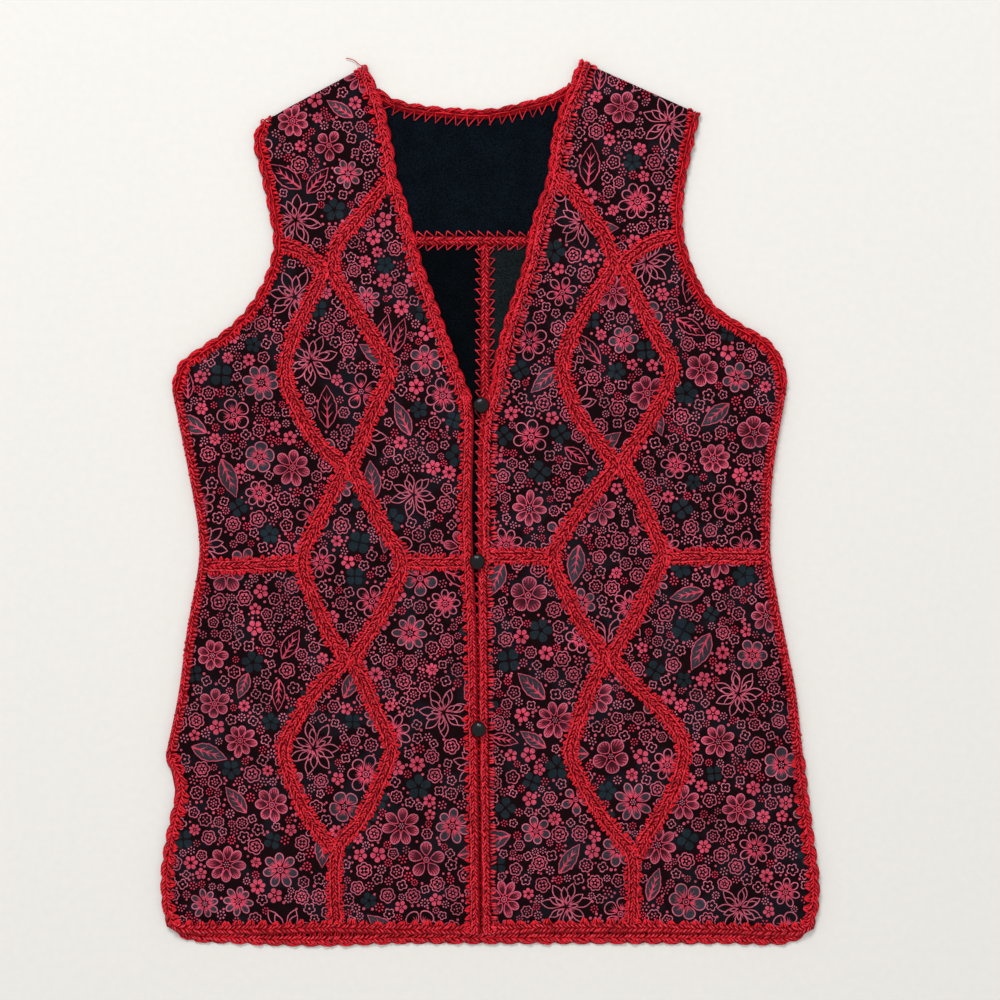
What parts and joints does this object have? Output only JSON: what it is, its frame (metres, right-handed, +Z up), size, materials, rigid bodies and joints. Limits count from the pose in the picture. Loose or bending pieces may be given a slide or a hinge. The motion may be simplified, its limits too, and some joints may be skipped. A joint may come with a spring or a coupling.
{
  "type": "leather vest",
  "caption": "Sleeveless V-neck vest laid flat: printed suede leather pieces joined and edged with red crochet, side slits at the hem and domed buttons down the front.",
  "frame": {"origin": "under the middle of the vest's box, on the surface that it lies on", "axes": "+Z up from the surface, +Y from the hem to the neck, +X to the wearer's left"},
  "size_m": [0.5272, 0.7096, 0.0114],
  "materials": {
    "printed_suede": "suede leather, dyed near black and printed with small flowers and leaves in rose, mauve and slate",
    "crochet_yarn": "crocheted bright red yarn, slightly shiny",
    "button": "domed black shank button, half gloss"
  },
  "bodies": {
    "root": {"right_shoulder": "printed_suede", "right_top_diamond": "printed_suede", "right_middle_diamond": "printed_suede", "right_low_diamond": "printed_suede", "right_upper_side": "printed_suede", "right_lower_side": "printed_suede", "right_upper_front": "printed_suede", "right_lower_front": "printed_suede", "right_front_edging": "crochet_yarn", "right_armhole_edging": "crochet_yarn", "right_hem_edging": "crochet_yarn", "right_side_braid": "crochet_yarn", "right_front_braid": "crochet_yarn", "right_waist_side_braid": "crochet_yarn", "right_waist_front_braid": "crochet_yarn", "right_side_seam": "crochet_yarn", "right_shoulder_seam": "crochet_yarn", "left_shoulder": "printed_suede", "left_top_diamond": "printed_suede", "left_middle_diamond": "printed_suede", "left_low_diamond": "printed_suede", "left_upper_side": "printed_suede", "left_lower_side": "printed_suede", "left_upper_front": "printed_suede", "left_lower_front": "printed_suede", "left_front_edging": "crochet_yarn", "left_armhole_edging": "crochet_yarn", "left_hem_edging": "crochet_yarn", "left_side_braid": "crochet_yarn", "left_front_braid": "crochet_yarn", "left_waist_side_braid": "crochet_yarn", "left_waist_front_braid": "crochet_yarn", "left_side_seam": "crochet_yarn", "left_shoulder_seam": "crochet_yarn", "back_yoke": "printed_suede", "back_right": "printed_suede", "back_left": "printed_suede", "back_neck_edging": "crochet_yarn", "back_hem_edging": "crochet_yarn", "back_yoke_braid": "crochet_yarn", "back_centre_braid": "crochet_yarn", "button_top": "button", "button_middle": "button", "button_low": "button"}
  },
  "joints": []
}
